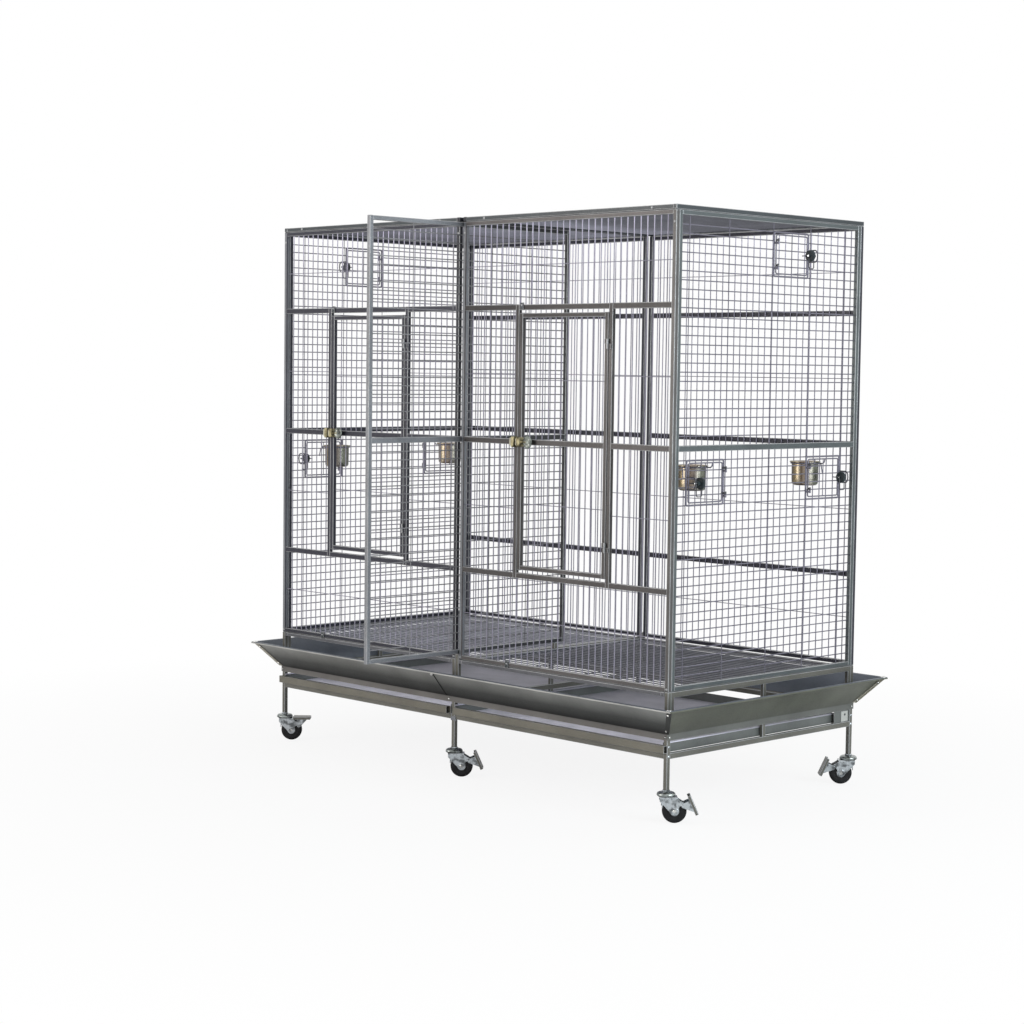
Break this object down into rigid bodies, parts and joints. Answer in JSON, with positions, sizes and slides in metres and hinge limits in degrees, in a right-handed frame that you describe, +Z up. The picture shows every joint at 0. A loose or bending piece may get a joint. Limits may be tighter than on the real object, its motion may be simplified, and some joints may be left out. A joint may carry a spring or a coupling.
{
  "type": "double bird cage on a rolling stand",
  "caption": "Double bird cage on a wheeled stand, with front doors, side feeder doors and cups, slide-out trays and grates, a seed apron and a divider that pulls out between its bays.",
  "frame": {"origin": "on the floor under the middle of the object's whole outline, divider half out", "axes": "+Z up, the doors on the -Y side, +X to the right of someone who faces the doors"},
  "size_m": [1.7662, 1.221, 1.613],
  "materials": {
    "pewter_frame": "dark pewter powder coat with a fine hammered texture",
    "pewter_sheet": "dark pewter powder coat on sheet steel",
    "zinc": "bright zinc plate on pressed steel",
    "black_rubber": "matt black",
    "brass": "yellow plated metal",
    "stainless": "bright stainless steel"
  },
  "bodies": {
    "cage": {"apron_back_left": "pewter_sheet", "apron_back_right": "pewter_sheet", "apron_front_left": "pewter_sheet", "apron_front_right": "pewter_sheet", "apron_left": "pewter_sheet", "apron_right": "pewter_sheet", "back_left_panel": "pewter_frame", "back_right_panel": "pewter_frame", "front_left_panel": "pewter_frame", "front_right_panel": "pewter_frame", "left_side_panel": "pewter_frame", "right_side_panel": "pewter_frame", "roof_left_panel": "pewter_frame", "roof_right_panel": "pewter_frame", "stand_centre_frame": "pewter_frame", "stand_left_frame": "pewter_frame", "stand_right_frame": "pewter_frame"},
    "back_centre_brake_pedal": {"back_centre_brake_pedal": "zinc"},
    "back_centre_caster_fork": {"back_centre_caster_fork": "zinc"},
    "back_centre_wheel": {"back_centre_wheel": "black_rubber"},
    "back_left_brake_pedal": {"back_left_brake_pedal": "zinc"},
    "back_left_caster_fork": {"back_left_caster_fork": "zinc"},
    "back_left_wheel": {"back_left_wheel": "black_rubber"},
    "back_right_brake_pedal": {"back_right_brake_pedal": "zinc"},
    "back_right_caster_fork": {"back_right_caster_fork": "zinc"},
    "back_right_wheel": {"back_right_wheel": "black_rubber"},
    "divider": {"divider": "pewter_frame"},
    "front_centre_brake_pedal": {"front_centre_brake_pedal": "zinc"},
    "front_centre_caster_fork": {"front_centre_caster_fork": "zinc"},
    "front_centre_wheel": {"front_centre_wheel": "black_rubber"},
    "front_left_brake_pedal": {"front_left_brake_pedal": "zinc"},
    "front_left_caster_fork": {"front_left_caster_fork": "zinc"},
    "front_left_wheel": {"front_left_wheel": "black_rubber"},
    "front_right_brake_pedal": {"front_right_brake_pedal": "zinc"},
    "front_right_caster_fork": {"front_right_caster_fork": "zinc"},
    "front_right_wheel": {"front_right_wheel": "black_rubber"},
    "left_cup_back": {"left_cup_back": "stainless"},
    "left_cup_front": {"left_cup_front": "stainless"},
    "left_door": {"left_door": "pewter_frame"},
    "left_door_latch": {"left_door_latch": "brass"},
    "left_feeder_door_high": {"left_feeder_door_high": "pewter_frame"},
    "left_feeder_door_low_back": {"left_feeder_door_low_back": "pewter_frame"},
    "left_feeder_door_low_front": {"left_feeder_door_low_front": "pewter_frame"},
    "left_feeder_knob_high": {"left_feeder_knob_high": "black_rubber"},
    "left_feeder_knob_low_back": {"left_feeder_knob_low_back": "black_rubber"},
    "left_feeder_knob_low_front": {"left_feeder_knob_low_front": "black_rubber"},
    "left_grate": {"left_grate": "pewter_frame"},
    "left_tray": {"left_tray": "pewter_sheet"},
    "right_cup_back": {"right_cup_back": "stainless"},
    "right_cup_front": {"right_cup_front": "stainless"},
    "right_door": {"right_door": "pewter_frame"},
    "right_door_latch": {"right_door_latch": "brass"},
    "right_feeder_door_high": {"right_feeder_door_high": "pewter_frame"},
    "right_feeder_door_low_back": {"right_feeder_door_low_back": "pewter_frame"},
    "right_feeder_door_low_front": {"right_feeder_door_low_front": "pewter_frame"},
    "right_feeder_knob_high": {"right_feeder_knob_high": "black_rubber"},
    "right_feeder_knob_low_back": {"right_feeder_knob_low_back": "black_rubber"},
    "right_feeder_knob_low_front": {"right_feeder_knob_low_front": "black_rubber"},
    "right_grate": {"right_grate": "pewter_frame"},
    "right_tray": {"right_tray": "pewter_sheet"}
  },
  "joints": [
    {"name": "left_door_hinge", "type": "hinge", "parent": "cage", "child": "left_door", "pos_m": [-0.24014, -0.268, 0.3453], "axis": [0, 0, 1], "range_deg": [0, 120]},
    {"name": "right_door_hinge", "type": "hinge", "parent": "cage", "child": "right_door", "pos_m": [0.57966, -0.268, 0.3453], "axis": [0, 0, 1], "range_deg": [0, 170]},
    {"name": "left_door_bolt", "type": "slide", "parent": "left_door", "child": "left_door_latch", "axis": [-1, 0, 0], "range_m": [0, 0.009]},
    {"name": "right_door_bolt", "type": "slide", "parent": "right_door", "child": "right_door_latch", "axis": [-1, 0, 0], "range_m": [0, 0.009]},
    {"name": "left_feeder_door_low_back_hinge", "type": "hinge", "parent": "cage", "child": "left_feeder_door_low_back", "pos_m": [-0.8166, 0.32825, 0.89047], "axis": [0, 0, 1], "range_deg": [0, 100]},
    {"name": "left_feeder_knob_low_back_bolt", "type": "slide", "parent": "left_feeder_door_low_back", "child": "left_feeder_knob_low_back", "axis": [0, 1, 0], "range_m": [0, 0.008]},
    {"name": "left_cup_back_lift", "type": "slide", "parent": "left_feeder_door_low_back", "child": "left_cup_back", "axis": [0, 0, 1], "range_m": [0, 0.12]},
    {"name": "left_feeder_door_low_front_hinge", "type": "hinge", "parent": "cage", "child": "left_feeder_door_low_front", "pos_m": [-0.8166, -0.03675, 0.89047], "axis": [0, 0, -1], "range_deg": [0, 100]},
    {"name": "left_feeder_knob_low_front_bolt", "type": "slide", "parent": "left_feeder_door_low_front", "child": "left_feeder_knob_low_front", "axis": [0, -1, 0], "range_m": [0, 0.008]},
    {"name": "left_cup_front_lift", "type": "slide", "parent": "left_feeder_door_low_front", "child": "left_cup_front", "axis": [0, 0, 1], "range_m": [0, 0.12]},
    {"name": "left_feeder_door_high_hinge", "type": "hinge", "parent": "cage", "child": "left_feeder_door_high", "pos_m": [-0.8166, 0.12525, 1.50358], "axis": [0, 0, -1], "range_deg": [0, 100]},
    {"name": "left_feeder_knob_high_bolt", "type": "slide", "parent": "left_feeder_door_high", "child": "left_feeder_knob_high", "axis": [0, -1, 0], "range_m": [0, 0.008]},
    {"name": "right_feeder_door_low_front_hinge", "type": "hinge", "parent": "cage", "child": "right_feeder_door_low_front", "pos_m": [0.8166, -0.05225, 0.89047], "axis": [0, 0, 1], "range_deg": [0, 100]},
    {"name": "right_feeder_knob_low_front_bolt", "type": "slide", "parent": "right_feeder_door_low_front", "child": "right_feeder_knob_low_front", "axis": [0, -1, 0], "range_m": [0, 0.008]},
    {"name": "right_cup_front_lift", "type": "slide", "parent": "right_feeder_door_low_front", "child": "right_cup_front", "axis": [0, 0, 1], "range_m": [0, 0.12]},
    {"name": "right_feeder_door_low_back_hinge", "type": "hinge", "parent": "cage", "child": "right_feeder_door_low_back", "pos_m": [0.8166, 0.31275, 0.89047], "axis": [0, 0, -1], "range_deg": [0, 100]},
    {"name": "right_feeder_knob_low_back_bolt", "type": "slide", "parent": "right_feeder_door_low_back", "child": "right_feeder_knob_low_back", "axis": [0, 1, 0], "range_m": [0, 0.008]},
    {"name": "right_cup_back_lift", "type": "slide", "parent": "right_feeder_door_low_back", "child": "right_cup_back", "axis": [0, 0, 1], "range_m": [0, 0.12]},
    {"name": "right_feeder_door_high_hinge", "type": "hinge", "parent": "cage", "child": "right_feeder_door_high", "pos_m": [0.8166, 0.15075, 1.50358], "axis": [0, 0, -1], "range_deg": [0, 100]},
    {"name": "right_feeder_knob_high_bolt", "type": "slide", "parent": "right_feeder_door_high", "child": "right_feeder_knob_high", "axis": [0, 1, 0], "range_m": [0, 0.008]},
    {"name": "divider_slide", "type": "slide", "parent": "cage", "child": "divider", "axis": [0, 1, 0], "range_m": [-0.4, 0.348]},
    {"name": "left_tray_slide", "type": "slide", "parent": "cage", "child": "left_tray", "axis": [0, -1, 0], "range_m": [0, 0.6]},
    {"name": "left_grate_slide", "type": "slide", "parent": "cage", "child": "left_grate", "axis": [0, -1, 0], "range_m": [0, 0.6]},
    {"name": "right_tray_slide", "type": "slide", "parent": "cage", "child": "right_tray", "axis": [0, -1, 0], "range_m": [0, 0.6]},
    {"name": "right_grate_slide", "type": "slide", "parent": "cage", "child": "right_grate", "axis": [0, -1, 0], "range_m": [0, 0.6]},
    {"name": "front_left_swivel", "type": "hinge", "parent": "cage", "child": "front_left_caster_fork", "pos_m": [-0.80645, -0.25785, 0], "axis": [0, 0, 1], "continuous": true},
    {"name": "front_left_axle", "type": "hinge", "parent": "front_left_caster_fork", "child": "front_left_wheel", "pos_m": [-0.79089, -0.24229, 0.0325], "axis": [-0.7071, 0.7071, 0], "continuous": true},
    {"name": "front_left_brake_hinge", "type": "hinge", "parent": "front_left_caster_fork", "child": "front_left_brake_pedal", "pos_m": [-0.77392, -0.22532, 0.048], "axis": [-0.7071, 0.7071, 0], "range_deg": [0, 66]},
    {"name": "front_centre_swivel", "type": "hinge", "parent": "cage", "child": "front_centre_caster_fork", "pos_m": [-0.01335, -0.25785, 0], "axis": [0, 0, 1], "continuous": true},
    {"name": "front_centre_axle", "type": "hinge", "parent": "front_centre_caster_fork", "child": "front_centre_wheel", "pos_m": [0.00221, -0.24229, 0.0325], "axis": [-0.7071, 0.7071, 0], "continuous": true},
    {"name": "front_centre_brake_hinge", "type": "hinge", "parent": "front_centre_caster_fork", "child": "front_centre_brake_pedal", "pos_m": [0.01918, -0.22532, 0.048], "axis": [-0.7071, 0.7071, 0], "range_deg": [-66, 0]},
    {"name": "front_right_swivel", "type": "hinge", "parent": "cage", "child": "front_right_caster_fork", "pos_m": [0.80645, -0.25785, 0], "axis": [0, 0, 1], "continuous": true},
    {"name": "front_right_axle", "type": "hinge", "parent": "front_right_caster_fork", "child": "front_right_wheel", "pos_m": [0.82201, -0.24229, 0.0325], "axis": [-0.7071, 0.7071, 0], "continuous": true},
    {"name": "front_right_brake_hinge", "type": "hinge", "parent": "front_right_caster_fork", "child": "front_right_brake_pedal", "pos_m": [0.83898, -0.22532, 0.048], "axis": [-0.7071, 0.7071, 0], "range_deg": [-66, 0]},
    {"name": "back_left_swivel", "type": "hinge", "parent": "cage", "child": "back_left_caster_fork", "pos_m": [-0.80645, 0.53385, 0], "axis": [0, 0, 1], "continuous": true},
    {"name": "back_left_axle", "type": "hinge", "parent": "back_left_caster_fork", "child": "back_left_wheel", "pos_m": [-0.82201, 0.51829, 0.0325], "axis": [0.7071, -0.7071, 0], "continuous": true},
    {"name": "back_left_brake_hinge", "type": "hinge", "parent": "back_left_caster_fork", "child": "back_left_brake_pedal", "pos_m": [-0.83898, 0.50132, 0.048], "axis": [0.7071, -0.7071, 0], "range_deg": [-66, 0]},
    {"name": "back_centre_swivel", "type": "hinge", "parent": "cage", "child": "back_centre_caster_fork", "pos_m": [-0.01335, 0.53385, 0], "axis": [0, 0, 1], "continuous": true},
    {"name": "back_centre_axle", "type": "hinge", "parent": "back_centre_caster_fork", "child": "back_centre_wheel", "pos_m": [-0.02891, 0.51829, 0.0325], "axis": [0.7071, -0.7071, 0], "continuous": true},
    {"name": "back_centre_brake_hinge", "type": "hinge", "parent": "back_centre_caster_fork", "child": "back_centre_brake_pedal", "pos_m": [-0.04588, 0.50132, 0.048], "axis": [0.7071, -0.7071, 0], "range_deg": [-66, 0]},
    {"name": "back_right_swivel", "type": "hinge", "parent": "cage", "child": "back_right_caster_fork", "pos_m": [0.80645, 0.53385, 0], "axis": [0, 0, 1], "continuous": true},
    {"name": "back_right_axle", "type": "hinge", "parent": "back_right_caster_fork", "child": "back_right_wheel", "pos_m": [0.79089, 0.51829, 0.0325], "axis": [0.7071, -0.7071, 0], "continuous": true},
    {"name": "back_right_brake_hinge", "type": "hinge", "parent": "back_right_caster_fork", "child": "back_right_brake_pedal", "pos_m": [0.77392, 0.50132, 0.048], "axis": [0.7071, -0.7071, 0], "range_deg": [-66, 0]}
  ]
}
